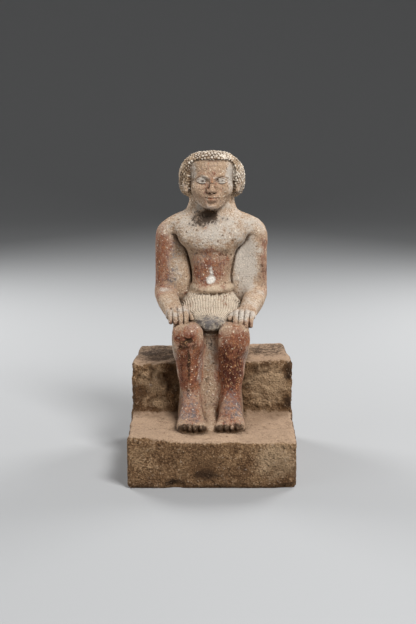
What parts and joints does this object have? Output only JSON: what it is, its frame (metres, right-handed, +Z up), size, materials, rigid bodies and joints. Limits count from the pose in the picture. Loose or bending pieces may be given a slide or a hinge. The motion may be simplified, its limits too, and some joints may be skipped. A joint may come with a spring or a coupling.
{
  "type": "seated statue",
  "caption": "Small stone statue of a seated man with his hands on his knees, carved with his block seat and base from one piece.",
  "frame": {"origin": "centre of the underside's bounding box, on the surface that the statue stands on", "axes": "+Z up, -Y the way the man looks, +X to the right of someone who faces him"},
  "size_m": [0.118, 0.132, 0.222],
  "materials": {
    "painted_limestone": "worn paint and plaster over matt carved limestone"
  },
  "bodies": {
    "root": {"seated_statue": "painted_limestone"}
  },
  "joints": []
}
